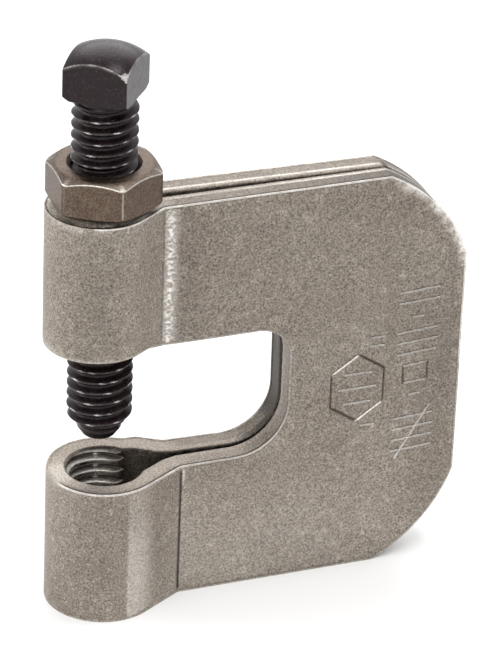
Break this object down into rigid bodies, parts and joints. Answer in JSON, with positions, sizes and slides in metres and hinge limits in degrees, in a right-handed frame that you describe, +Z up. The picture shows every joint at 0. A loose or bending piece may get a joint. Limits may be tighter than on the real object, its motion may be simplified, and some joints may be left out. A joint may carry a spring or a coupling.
{
  "type": "beam clamp",
  "caption": "C-type beam clamp folded from steel strip, with a cup-point set screw, a jam nut and a tapped eye for a threaded hanger rod.",
  "frame": {"origin": "centre of the rod eye's lower mouth, on the flat bottom edge that the clamp stands on", "axes": "+Z up along the rod eye, towards the set screw's head; +X from the eyes to the plates' back edge; the two plates lie either side of Y = 0"},
  "size_m": [0.0523, 0.014, 0.0732],
  "materials": {
    "strip_steel": "bare formed steel, mottled grain, bright sheared edges",
    "black_screw": "black oxide with bright thread crests",
    "nut_steel": "dull brown-grey steel with bright chamfer edges"
  },
  "bodies": {
    "body": {"clamp_body": "strip_steel"},
    "screw": {"set_screw": "black_screw"},
    "nut": {"lock_nut": "nut_steel"}
  },
  "joints": [
    {"name": "screw_slide", "type": "slide", "parent": "body", "child": "screw", "axis": [0, 0, 1], "range_m": [-0.00423, 0.0127]},
    {"name": "nut_slide", "type": "slide", "parent": "body", "child": "nut", "axis": [0, 0, 1], "range_m": [0, 0.00423]}
  ]
}
